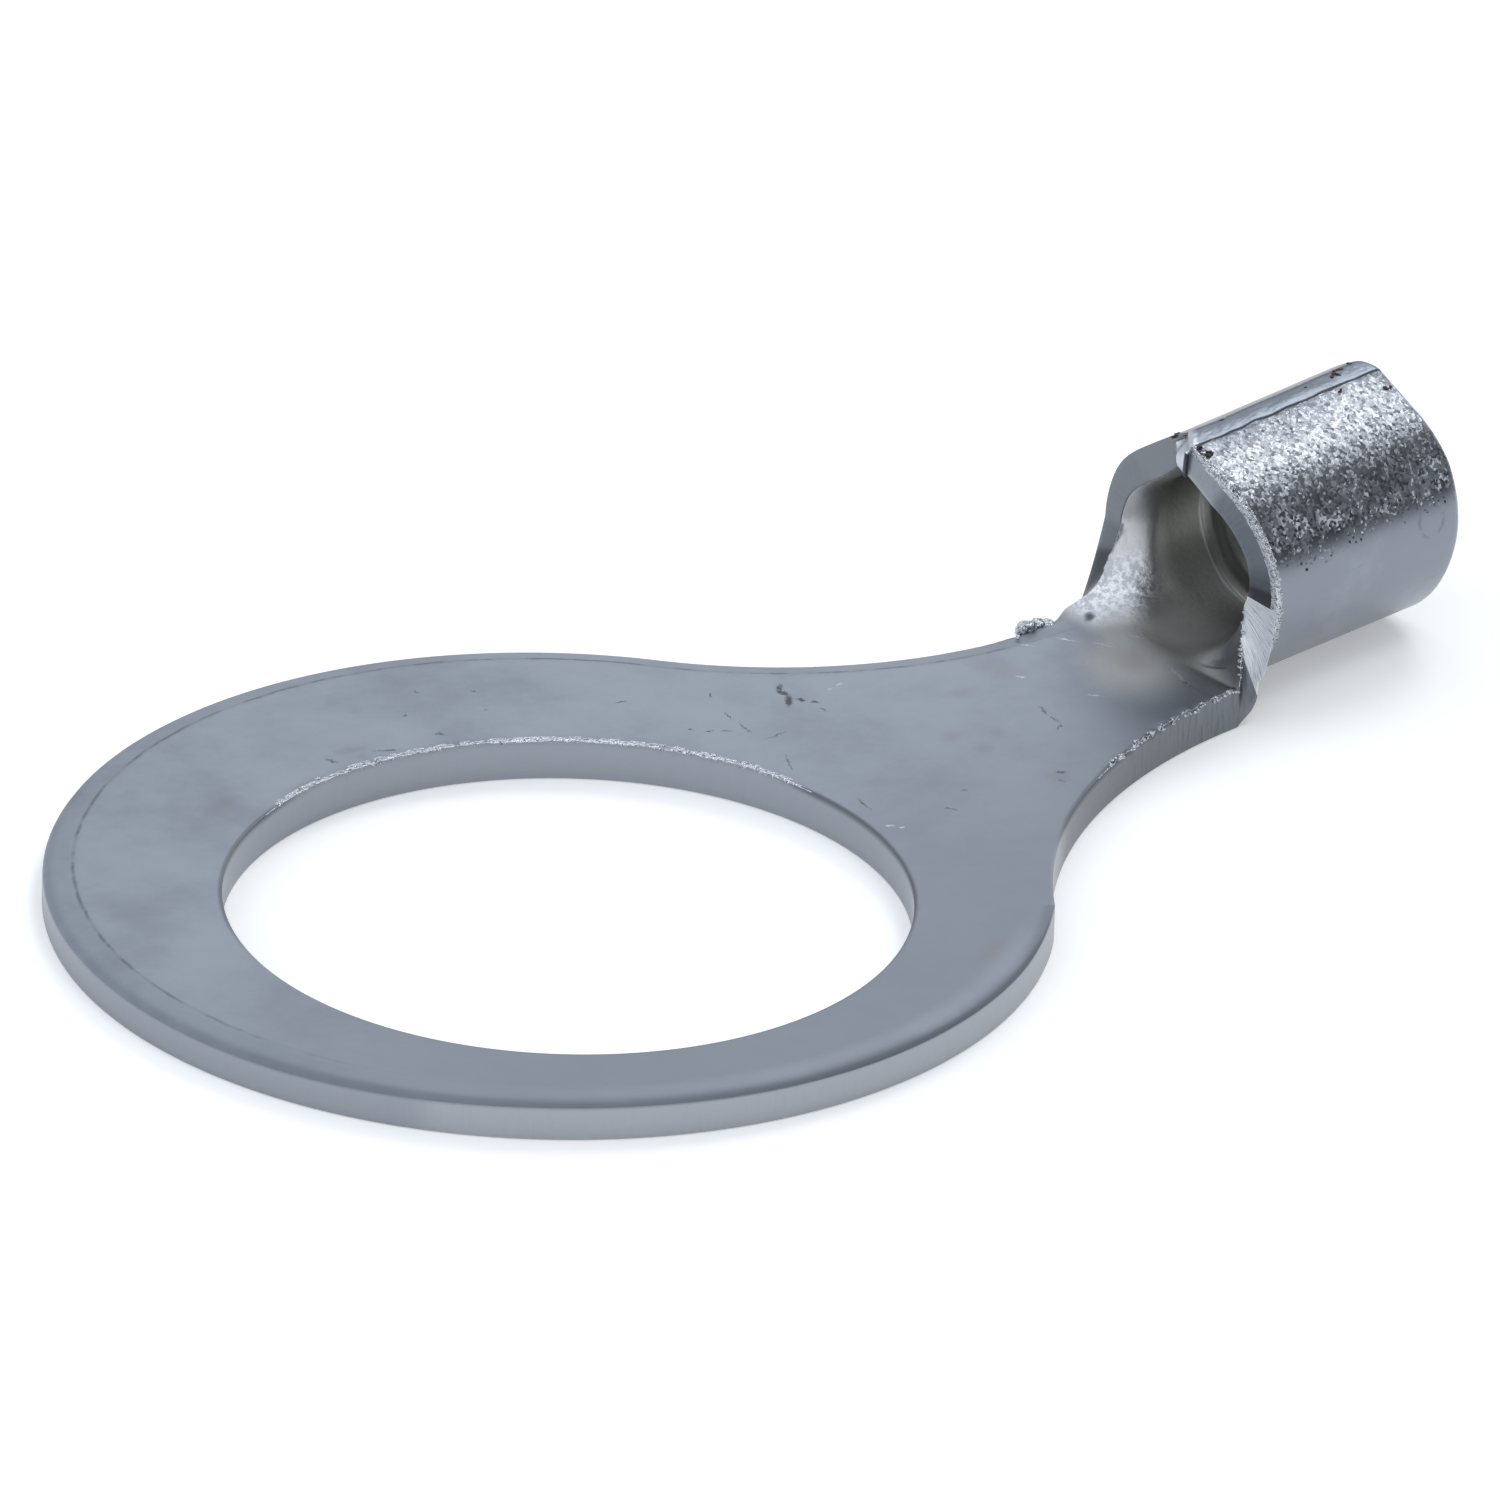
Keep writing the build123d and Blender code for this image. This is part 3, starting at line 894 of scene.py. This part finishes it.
class Finish:
    """A finish in the making: its material, and the patterns that several finishes share."""

    def __init__(self, name):
        self.material = bpy.data.materials.new(name)
        self.material.use_nodes = True
        self.material.node_tree.nodes.clear()
        self.add = partial(add_node, self.material.node_tree)

    @cached_property
    def place(self):
        """Place on the object, in metres."""
        return self.add("TexCoord", out="Object")

    @cached_property
    def blank(self):
        """Millimetres along, across and through the sheet, before it was bent."""
        return self.add("Attribute", out="Vector", attribute_name="blank")

    def noise(self, place, sizes, turn=(0, 0, 0), detail=3.0, rough=0.6):
        """Noise whose grains have these sizes along the place's own directions, or turned from them."""
        local = self.add("Mapping", {"Vector": place, "Rotation": turn, "Scale": sizes})
        return self.add("TexNoise", {"Vector": local, "Scale": 1.0, "Detail": detail, "Roughness": rough})

    def grain(self, size, detail=3.0, rough=0.6):
        """Noise with even grains of this size in millimetres."""
        return self.noise(self.place, (size * MM,) * 3, detail=detail, rough=rough)

    def off_by(self, value, middle):
        """How far a value is off from the middle, either way."""
        gap = self.add("Math", (value, middle), operation="SUBTRACT")
        return self.add("Math", (gap,), operation="ABSOLUTE")

    def laid(self, tint, *layers):
        """A tint under layers of other colours, each laid on by its share."""
        for share, name in layers:
            tint = self.add("Mix", {0: share, 6: tint, 7: tone(name)}, 2)
        return tint

    def clouded(self, first, second, size, low=0.35, high=0.68):
        """Two colours in soft clouds of this size, and the clouds themselves."""
        inputs = {"Vector": self.place, "Scale": 1 / (size * MM), "Detail": 6.0, "Roughness": 0.62}
        clouds = self.add("TexNoise", inputs)
        return self.laid(tone(first), (self.add("MapRange", (clouds, low, high)), second)), clouds

    def frayed(self, place, size, far):
        """A place of the blank, pushed about by up to this far, so that marks get ragged hems."""
        push = self.add("TexNoise", {"Vector": place, "Scale": 1 / size, "Detail": 3.0}, 1)
        centred = self.add("VectorMath", (push, (0.5, 0.5, 0.5)), operation="SUBTRACT")
        return self.add("VectorMath", (centred, (far, far, far), place), operation="MULTIPLY_ADD")

    def marked(self, place, marks, low, high, most):
        """Share of the nearest mark at a place of the blank: long spots with soft hems."""
        nearest = 0.0
        for along, across, half_length, half_width, turn in marks:
            at, turned = (along, across, 0), (0, 0, radians(turn))
            spot = self.add("Mapping", (place, at, turned, (half_length, half_width, 1000)))
            glow = self.add("TexGradient", (spot,), 1, gradient_type="SPHERICAL")
            nearest = self.add("Math", (nearest, glow), operation="MAXIMUM")
        return self.add("MapRange", (nearest, low, high, 0.0, most))

    def worn(self, tint):
        """A tint with the marks of use, stains, and pale patches of flux film and painted reflection on the
        throat's floor, and the shares of its dirt, rubbed spots and pale patches.
        """
        frayed = self.frayed(self.blank, 0.1, 0.22)
        # Pale patches on the throat's floor: flux film, and a painted reflection of the barrel's inside
        pale = self.marked(frayed, FILM_AND_REFLECTION, 0.0, 0.8, 0.8)
        brown = self.marked(frayed, STAINS_AND_REFLECTION, 0.0, 0.9, 0.22)
        scratches = self.marked(frayed, DARK_MARKS, 0.0, 0.7, 0.6)
        gouges = self.marked(self.frayed(frayed, 0.05, 0.12), GOUGES, 0.1, 0.7, 0.85)
        dark = self.add("Math", (gouges, scratches), operation="MAXIMUM")
        bright = self.marked(frayed, BRIGHT_MARKS, 0.0, 0.7, 1.0)
        tint = self.laid(tint, (pale, "film"), (brown, "stain"), (dark, "mark"), (bright, "bright"))
        return tint, dark, bright, pale

    def dirty(self, tint):
        """A tint under the dark line painted along the edges, painted shade on the neck's right."""
        dirt = self.add("Attribute", out="Fac", attribute_name="dirt")
        return self.laid(tint, (self.add("MapRange", (dirt, 0.0, 0.9, 0.0, 0.6)), "mark"))

    def finished(self, tint, roughness, height=None, depth=0.0, strength=1.0, **others):
        """The material as metal of this tint and roughness, with a bump of this depth in millimetres."""
        inputs = {"Base Color": tint, "Roughness": roughness, "Metallic": 1.0} | others
        if height is not None:
            bump = {"Height": height, "Strength": strength, "Distance": depth * MM}
            inputs["Normal"] = self.add("Bump", bump)
        self.add("OutputMaterial", {"Surface": self.add("BsdfPrincipled", inputs)})
        return self.material


def matt_tin():
    """Tin plate, dipped and left matt: soft clouds, fine grain and a broad soft shine, with painted shade
    towards the near side and along the bend of the edge band.
    """
    tin = Finish("matt_tin_plate")
    add = tin.add
    _, across, _ = add("SeparateXYZ", (tin.blank,)).node.outputs
    tint, clouds = tin.clouded("tin", "tin_dark", 3.0, 0.3, 0.9)
    band = add("Attribute", out="Fac", attribute_name="band")
    # A broken dark line where the edge band bends down from the face, stronger on the far side: painted
    # shade
    border = tin.off_by(add("Math", (tin.grain(0.4), 0.08, band), operation="MULTIPLY_ADD"), 0.7)
    broken = add("MapRange", (tin.grain(0.9), 0.42, 0.6, 0.15, 0.7))
    line = add("Math", (add("MapRange", (border, 0.07, 0.0)), broken))
    far_bend_shade = add("Math", (line, add("MapRange", (across, -7, 2))))
    # Painted shade: the tin is laid on darker towards the near, right side
    near_side_shade = add("MapRange", (across, 5, -8, 0.0, 0.9))
    tint, dark, bright, pale = tin.worn(tin.laid(tint, (far_bend_shade, "cut_dark"), (near_side_shade, "tin_dark")))

    even = add("MapRange", (clouds, 0.3, 0.7, 0.45, 0.53))
    filmy = add("Math", (pale, 0.12, even), operation="MULTIPLY_ADD")
    blunt = add("Math", (add("MapRange", (band, 0.35, 0.1)), 0.2, filmy), operation="MULTIPLY_ADD")
    roughness = add("Math", (bright, -0.25, blunt), operation="MULTIPLY_ADD")
    height = add("Math", (dark, -6.0, tin.grain(0.16)), operation="MULTIPLY_ADD")
    return tin.finished(tin.dirty(tint), roughness, height, 0.006, 0.35)


def sheared_metal(name, lines_tone, line_width, depth):
    """Edge of the sheet, sheared by the punch: fine straight streaks through the thickness, laid on lighter
    on the barrel's right front edge as painted light, and with painted shade where the throat's cut faces
    turn into the barrel.
    """
    edge = Finish(name)
    add = edge.add
    along, across, _ = add("SeparateXYZ", (edge.blank,)).node.outputs
    lines = edge.noise(edge.blank, (line_width, line_width, line_width / 0.15))
    towards_throat = add("MapRange", (along, 12.2, 17, 0.1, 0.55))
    harder = add("Math", (towards_throat, add("MapRange", (along, 18.2, 19.0, 1.0, 0.3))))
    streak = add("Math", (add("MapRange", (lines, 0.45, 0.72)), harder))
    tint = edge.laid(
        tone("wall"),
        (add("MapRange", (along, 8.3, 11.5)), "cut"),
        # Painted light: the barrel's right front edge is laid on lighter
        (add("MapRange", (across, -4.7, -5.6)), "rim"),
        (streak, lines_tone),
        # Painted shade where the throat's cut faces turn into the barrel
        (edge.marked(edge.blank, EDGE_SHADES, 0.0, 0.5, 0.75), "mark"),
    )
    return edge.finished(edge.dirty(tint), 0.38, add("Math", (lines, harder)), depth, 0.6)


def burnished_edge():
    """Cut face of the throat that slid along the die: rubbed bright and laid on near white as a painted
    highlight, with slanting rub lines.
    """
    edge = Finish("burnished_edge")
    hatch = edge.noise(edge.blank, (0.5, 0.035, 0.5), (radians(16), 0, 0))
    tint = edge.laid(tone("burnished"), (edge.add("MapRange", (hatch, 0.5, 0.78)), "tin"))
    return edge.finished(tint, 0.3, hatch, 0.03, 0.8)


def inside_tin():
    """Tin inside the barrel, washed dull by flux and darkened deeper in as painted shade, and stretched
    bright and uneven in the throat, where the left cheek is laid on near white as a painted highlight and
    the fold carries painted shade.
    """
    tin = Finish("flux_washed_tin")
    add = tin.add
    along, across, _ = add("SeparateXYZ", (tin.blank,)).node.outputs
    wander = tin.grain(1.2)
    wavy = add("Math", (wander, 0.8, along), operation="MULTIPLY_ADD")
    # Deeper into the barrel the tint turns to the inner colour: flux-washed tin, and painted shade of the
    # bore
    washed_and_shaded = add("MapRange", (wavy, 17.95, 18.9))
    tint = tin.laid(tin.clouded("tin", "tin_dark", 3.0)[0], (washed_and_shaded, "inner_tin"))

    # The left cheek's patch: stretched tin laid on near white, a painted highlight as well, with dimples low
    # down
    uphill = add("Math", (wander, 1.2, across), operation="MULTIPLY_ADD")
    mouth = add("Math", (add("MapRange", (along, 17.7, 18.3)), add("MapRange", (along, 20.5, 19.3))))
    cheek = add("Math", (add("MapRange", (uphill, 1.9, 3.0)), mouth))
    rubbed = add("Math", (cheek, add("MapRange", (across, 3.9, 3.1))))
    stretched = add("MapRange", (tin.grain(0.16, 4.0, 0.7), 0.58, 0.42))
    speckled = tin.laid(tone("cheek_tin"), (add("Math", (stretched, rubbed)), "cheek_dull"))
    tint, _, _, pale = tin.worn(add("Mix", {0: cheek, 6: tint, 7: speckled}, 2))
    # Painted shade in the throat's right fold and a dark spot of it at the foot of the left side
    fold = tin.marked(tin.frayed(tin.blank, 0.3, 0.12), FOLD_SHADES, 0.0, 0.8, 0.85)

    even = add("MapRange", (along, 17.65, 18.6, 0.49, 0.42))
    filmy = add("Math", (pale, 0.12, even), operation="MULTIPLY_ADD")
    roughness = add("Math", (rubbed, -0.08, filmy), operation="MULTIPLY_ADD")
    dimples = add("Math", (tin.grain(0.22, 4.0, 0.65), rubbed))
    height = add("Math", (dimples, 3.5, tin.grain(0.12)), operation="MULTIPLY_ADD")
    return tin.finished(tin.laid(tint, (fold, "mark")), roughness, height, 0.01, 0.7)


def frosted_tin():
    """Tin that froze in fine crystals beside the seam, sparser lower down, with smooth rubbed tin below;
    laid on lighter towards the crest as a painted highlight, with a dark band of painted reflection lower on
    the flank and painted shade beyond the seam.
    """
    tin = Finish("frosted_tin")
    add = tin.add
    _, across, _ = add("SeparateXYZ", (tin.blank,)).node.outputs
    level = add("Math", (tin.grain(1.5, 2.0), -1.6, across), operation="MULTIPLY_ADD")
    frost = add("MapRange", (level, -5.7, -7.6))

    per_metre = 1 / (CRYSTAL * MM)
    cells = add("TexVoronoi", {"Vector": tin.place, "Scale": per_metre, "Randomness": 1.0}).node.outputs
    local = add("VectorMath", (tin.place, (per_metre,) * 3), operation="MULTIPLY")
    inside = add("VectorMath", (local, cells["Position"]), operation="SUBTRACT")
    lean = add("VectorMath", (cells["Color"], (0.5, 0.5, 0.5)), operation="SUBTRACT")
    facet = add("VectorMath", (inside, lean), "Value", operation="DOT_PRODUCT")
    chance = add("SeparateXYZ", (cells["Color"],), 2)
    early = add("Math", (chance, -0.5, frost), operation="MULTIPLY_ADD")
    crystals = add("Math", (facet, add("MapRange", (early, 0.0, 0.5))))
    fine = add("Math", (tin.grain(0.05, 2.0), frost))
    height = add("Math", (fine, 0.25, crystals), operation="MULTIPLY_ADD")
    roughness = add("Math", (frost, 0.09, 0.29), operation="MULTIPLY_ADD")

    rubs = add("MapRange", (tin.noise(tin.blank, (2.5, 0.06, 1.0), detail=2.0), 0.66, 0.74))
    patchy = add("MapRange", (tin.noise(tin.blank, (1.5, 0.8, 1.0), detail=1.0), 0.5, 0.62))
    lower = add("MapRange", (across, -5.6, -5.0, 0.0, 0.5))
    upper = add("MapRange", (across, -6.0, -7.8, 0.0, 0.8))
    dark_band_reflection = add("MapRange", (across, -4.9, -5.6, 0.0, 0.45))
    groove = add("MapRange", (tin.off_by(across, -SEAM_GROOVE_ACROSS), 0.1, 0.0))
    clean = add("MapRange", (tin.noise(tin.blank, (0.5, 0.1, 1.0), detail=2.0), 0.35, 0.65, 0.5, 0.1))
    from_scar = add("VectorMath", (tin.blank, SCAR), "Value", operation="DISTANCE")
    scar = add("MapRange", (tin.off_by(from_scar, SCAR_R), 0.08, 0.0, 0.0, 0.35))
    broken = add("MapRange", (tin.noise(tin.blank, (0.3, 0.3, 1.0), detail=2.0), 0.4, 0.62))
    tint = tin.laid(
        tin.clouded("tin_dark", "tin", 1.6, 0.45, 0.95)[0],
        (add("Math", (add("Math", (rubs, patchy)), lower)), "mark"),
        # Painted highlight: the upper right flank is laid on lighter towards the crest
        (add("Math", (upper, add("MapRange", (level, -9.6, -8.7, 0.3, 1.0)))), "bright"),
        # Painted shade on the barrel's left side, just beyond the seam
        (add("MapRange", (across, 7.8, 8.5, 0.0, 0.6)), "mark"),
        # Painted reflection: a dark band low on the right flank, where it mirrors the studio's dark corner
        (add("Math", (dark_band_reflection, add("MapRange", (across, -7.4, -6.2)))), "mark"),
        (add("Math", (groove, clean)), "mark"),
        (add("Math", (scar, broken)), "mark"),
    )
    return tin.finished(tint, roughness, height, 0.042)


def burred_metal():
    """Torn metal of the burrs: bare, bright and crumpled, with painted shade in the crumples' hollows."""
    torn = Finish("burred_edge")
    crumple = torn.grain(0.1, rough=0.65)
    # Painted shade in the low places of the crumpled bump
    hollow = torn.add("MapRange", (crumple, 0.48, 0.36, 0.0, 0.75))
    return torn.finished(torn.laid(tone("bright"), (hollow, "cut_dark")), 0.24, crumple, 0.07)


def smooth_solder():
    """Soft solder, set smooth and slightly wavy, with painted shade on its far hem and a painted highlight
    on its nose.
    """
    solder = Finish("smooth_solder")
    far_side = solder.add("Attribute", out="Fac", attribute_name="far_side")
    front = solder.add("Attribute", out="Fac", attribute_name="front")
    # Painted shade on the far hem, and a painted highlight on the nose
    shade = solder.add("MapRange", (far_side, 0.2, 0.8, 0.0, 0.75))
    tint = solder.laid(tone("solder"), (shade, "mark"), (front, "bright"))
    return solder.finished(tint, 0.42, solder.grain(0.4, 4.0, 0.55), 0.03, 0.6)


def burnt_flux():
    """Resin flux, burnt to a brown crust: dark, not metallic, with a glassy shine."""
    flux = Finish("burnt_flux")
    crust = flux.add("MapRange", (flux.grain(0.1), 0.4, 0.6))
    return flux.finished(flux.laid(tone("charred"), (crust, "flux")), 0.35, Metallic=0.0)


class TERMINAL_OT_sheet(bpy.types.Operator):
    """Build the tinned sheet: ring, neck, throat and rolled barrel."""

    bl_idname = "terminal.sheet"
    bl_label = "Tinned sheet"

    def execute(self, context):
        sheet = Sheet(context.scene.terminal_sheet)
        bm = sheet_mesh(sheet)
        thickened(bm, sheet)
        for face in bm.faces:
            face.material_index = finish_of(sheet, face)
        bent(bm, sheet)
        wall = sheared_metal("sheared_wall", "wall_dark", 0.1, 0.002)
        torn = sheared_metal("torn_edge", "cut_dark", 0.08, 0.02)
        finishes = [matt_tin(), wall, torn, frosted_tin(), burred_metal(), inside_tin(), burnished_edge()]
        piece = piece_from(bm, "tinned_sheet", finishes)
        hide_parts(NODE)
        return {"FINISHED"}


class TERMINAL_OT_solder(bpy.types.Operator):
    """Lay the solder into the seam."""

    bl_idname = "terminal.solder"
    bl_label = "Solder seam"

    def execute(self, context):
        piece_from(solder_mesh(Sheet(context.scene.terminal_sheet)), "solder_seam", [smooth_solder()])
        return {"FINISHED"}


class TERMINAL_OT_burrs(bpy.types.Operator):
    """Hang crumbs of torn metal on the sheet's edges."""

    bl_idname = "terminal.burrs"
    bl_label = "Burrs"

    def execute(self, context):
        piece_from(burr_mesh(Sheet(context.scene.terminal_sheet)), "burr_crumbs", [burred_metal()])
        return {"FINISHED"}


class TERMINAL_OT_flux(bpy.types.Operator):
    """Drop the flux specks beside the seam."""

    bl_idname = "terminal.flux"
    bl_label = "Flux specks"

    def execute(self, context):
        piece_from(flux_mesh(Sheet(context.scene.terminal_sheet)), "flux_specks", [burnt_flux()])
        return {"FINISHED"}


class TERMINAL_OT_stage(bpy.types.Operator):
    """Set up the floor, the light and the camera."""

    bl_idname = "terminal.stage"
    bl_label = "Stage"

    def execute(self, context):
        stage = context.scene.terminal_stage
        self.floor(context, stage)
        self.lamps(context)
        self.surroundings(context)
        self.camera(context, stage)
        context.scene.view_settings.view_transform = "Standard"
        return {"FINISHED"}

    def floor(self, context, stage):
        """Matt white floor that the camera and the metal see evenly lit, and that keeps the shadow."""
        bm = bmesh.new()
        bmesh.ops.create_grid(bm, x_segments=1, y_segments=1, size=FLOOR_HALF)
        bmesh.ops.translate(bm, vec=(0, 0, -FLOOR_DROP * MM), verts=bm.verts)
        mesh = bpy.data.meshes.new("floor")
        bm.to_mesh(mesh)
        bm.free()
        floor = bpy.data.objects.new("floor", mesh)
        context.scene.collection.objects.link(floor)
        paint = Finish("pale_floor")
        rays = paint.add("LightPath").node.outputs
        seen = paint.add("Math", (rays["Is Camera Ray"], rays["Is Glossy Ray"]), operation="MAXIMUM")
        glow = {"Emission Color": (1, 1, 1, 1), "Emission Strength": paint.add("Math", (seen, FLOOR_GLOW))}
        mesh.materials.append(paint.finished([*stage.floor, 1.0], 0.9, Metallic=0.0, **glow))

    def lamps(self, context):
        """Two soft round lamps: the key from behind on the right, and one from above in front."""
        for name, place, size, power in LAMPS:
            light = bpy.data.lights.new(name, "AREA")
            light.shape = "DISK"
            light.size = size
            light.energy = power
            lamp = bpy.data.objects.new(name, light)
            lamp.location = place
            lamp.rotation_euler = (LAMPS_AIM - Vector(place)).to_track_quat("-Z", "Y").to_euler()
            context.scene.collection.objects.link(lamp)

    def surroundings(self, context):
        """A pale studio, brighter overhead and with one dark corner, that the camera sees as plain white."""
        world = bpy.data.worlds.new("studio")
        context.scene.world = world
        world.use_nodes = True
        world.node_tree.nodes.clear()
        add = partial(add_node, world.node_tree)
        way = add("TexCoord", out="Generated")
        sky = add("MapRange", (add("SeparateXYZ", (way,), 2), 0.0, 0.5, 0.55, 0.85))
        towards = add("VectorMath", (way, DARK_CORNER), "Value", operation="DOT_PRODUCT")
        dark = add("MapRange", (towards, 0.55, 0.93, 1.0, 0.12))
        strength = add("Math", (sky, dark))
        seen = add("Background", {"Color": (1, 1, 1, 1), "Strength": 1.0})
        lit = add("Background", {"Color": STUDIO_TINT, "Strength": strength})
        direct = add("LightPath", out="Is Camera Ray")
        add("OutputWorld", {"Surface": add("MixShader", (direct, lit, seen))})

    def camera(self, context, stage):
        """The photo's view."""
        flat = stage.distance * cos(stage.elevation)
        height = stage.distance * sin(stage.elevation)
        place = Vector((flat * sin(stage.azimuth), -flat * cos(stage.azimuth), height))
        ahead = (Vector((stage.aim_x, stage.aim_y, 0)) - place).normalized()
        level = ahead.cross(Vector((0, 0, 1))).normalized()
        upright = level.cross(ahead)
        right = level * cos(stage.roll) + upright * sin(stage.roll)
        up = upright * cos(stage.roll) - level * sin(stage.roll)
        data = bpy.data.cameras.new("photo_view")
        data.lens = stage.lens
        data.sensor_width = 36
        data.clip_start = 0.01
        camera = bpy.data.objects.new("photo_view", data)
        camera.matrix_world = Matrix.Translation(place) @ Matrix((right, up, -ahead)).transposed().to_4x4()
        context.scene.collection.objects.link(camera)
        context.scene.camera = camera


class TERMINAL_PT_panel(bpy.types.Panel):
    """Settings and steps of the ring terminal."""

    bl_idname = "TERMINAL_PT_panel"
    bl_label = "Ring terminal"
    bl_space_type = "VIEW_3D"
    bl_region_type = "UI"
    bl_category = "Terminal"

    def draw(self, context):
        for group in SETTINGS:
            box = self.layout.box()
            for name in SETTINGS[group].__annotations__:
                box.prop(getattr(context.scene, group), name)
        for step in STEPS:
            self.layout.operator(step.bl_idname)


SETTINGS = {
    "terminal_sheet": SheetSettings,
    "terminal_finish": FinishSettings,
    "terminal_stage": StageSettings,
}
STEPS = (TERMINAL_OT_sheet, TERMINAL_OT_solder, TERMINAL_OT_burrs, TERMINAL_OT_flux, TERMINAL_OT_stage)
CLASSES = (*SETTINGS.values(), *STEPS, TERMINAL_PT_panel)


def register():
    for each in CLASSES:
        bpy.utils.register_class(each)
    for group, settings in SETTINGS.items():
        setattr(bpy.types.Scene, group, PointerProperty(type=settings))


def unregister():
    for group in SETTINGS:
        delattr(bpy.types.Scene, group)
    for each in reversed(CLASSES):
        bpy.utils.unregister_class(each)


def main():
    register()
    bpy.ops.terminal.sheet()
    bpy.ops.terminal.solder()
    bpy.ops.terminal.burrs()
    bpy.ops.terminal.flux()
    bpy.ops.terminal.stage()


if __name__ == "__main__":
    main()
